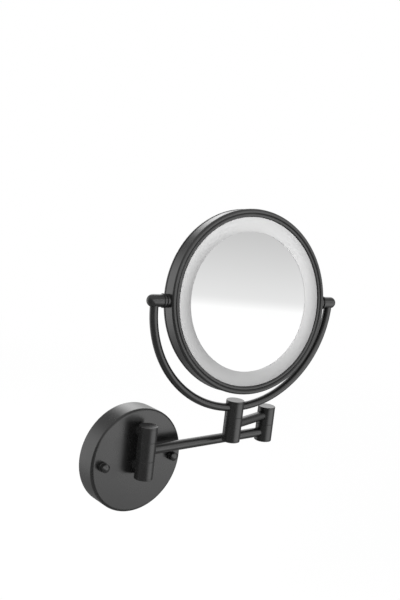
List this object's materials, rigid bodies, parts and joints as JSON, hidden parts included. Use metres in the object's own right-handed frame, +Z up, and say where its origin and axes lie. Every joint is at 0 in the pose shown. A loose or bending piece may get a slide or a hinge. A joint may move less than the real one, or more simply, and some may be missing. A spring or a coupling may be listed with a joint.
{
  "type": "extendable shaving mirror",
  "caption": "Wall-mounted round mirror on folding swivel arms with a tilting yoke, a frosted light ring and a concave mirror on the back.",
  "frame": {"origin": "centre of the back of the mounting bar and canopy, on the wall", "axes": "+X to the right along the wall, +Y into the wall, +Z up; the mirror stands out on the -Y side"},
  "size_m": [0.2888, 0.0821, 0.3382],
  "materials": {
    "satin_black": "satin",
    "zinc_steel": "satin",
    "nylon": "matte",
    "mirror_glass": "polished",
    "opal_diffuser": "frosted",
    "white_plastic": "matte",
    "light_board": "matte",
    "led_chip": "gloss",
    "foam": "matte"
  },
  "bodies": {
    "wall_mount": {"canopy": "satin_black", "mounting_bar": "zinc_steel", "bar_studs": "zinc_steel", "cap_nuts": "satin_black", "led_driver": "white_plastic", "terminal_block": "white_plastic", "bottom_hinge_block": "satin_black", "top_hinge_block": "satin_black", "hinge_nipples": "zinc_steel", "nipple_nuts": "zinc_steel", "wall_post_pin": "zinc_steel", "wall_post_spring": "zinc_steel", "wall_post_nut": "zinc_steel", "wall_post_washers": "nylon", "wall_post_top_cap": "satin_black", "wall_post_bottom_cap": "satin_black"},
    "lower_arm": {"lower_arm_tube": "satin_black", "wall_knuckle": "satin_black", "lower_elbow_knuckle": "satin_black", "elbow_bottom_cap": "satin_black", "elbow_pin": "zinc_steel", "elbow_spring": "zinc_steel", "elbow_nut": "zinc_steel", "elbow_washer": "nylon"},
    "upper_arm": {"upper_arm_tube": "satin_black", "upper_elbow_knuckle": "satin_black", "mirror_post_knuckle": "satin_black", "elbow_top_cap": "satin_black", "mirror_post_bottom_cap": "satin_black"},
    "yoke": {"yoke_knuckle": "satin_black", "yoke_knuckle_cap": "satin_black", "yoke_rod": "satin_black", "mirror_post_pin": "zinc_steel", "mirror_post_spring": "zinc_steel", "mirror_post_nut": "zinc_steel", "mirror_post_washer": "nylon", "left_pivot_barrel": "satin_black", "right_pivot_barrel": "satin_black", "pivot_pins": "zinc_steel", "pivot_washers": "nylon"},
    "head": {"rim_band": "satin_black", "front_bezel": "satin_black", "rear_bezel": "satin_black", "front_mirror": "mirror_glass", "rear_mirror": "mirror_glass", "diffuser_ring": "opal_diffuser", "mirror_carrier": "white_plastic", "led_board": "light_board", "leds": "led_chip", "rear_mirror_gasket": "foam", "left_pivot_boss": "satin_black", "right_pivot_boss": "satin_black"}
  },
  "joints": [
    {"name": "wall_swivel", "type": "hinge", "parent": "wall_mount", "child": "lower_arm", "pos_m": [0, -0.038, 0], "axis": [0, 0, 1], "range_deg": [-180, 0]},
    {"name": "elbow_swivel", "type": "hinge", "parent": "lower_arm", "child": "upper_arm", "pos_m": [0.174, -0.038, 0], "axis": [0, 0, 1], "range_deg": [0, 333]},
    {"name": "yoke_swivel", "type": "hinge", "parent": "upper_arm", "child": "yoke", "pos_m": [0.1059, -0.05422, 0], "axis": [0, 0, 1], "range_deg": [-170, 170]},
    {"name": "head_tilt", "type": "hinge", "parent": "yoke", "child": "head", "pos_m": [0.1059, -0.05422, 0.1785], "axis": [0.9914, -0.1305, 0], "range_deg": [-180, 180]}
  ]
}
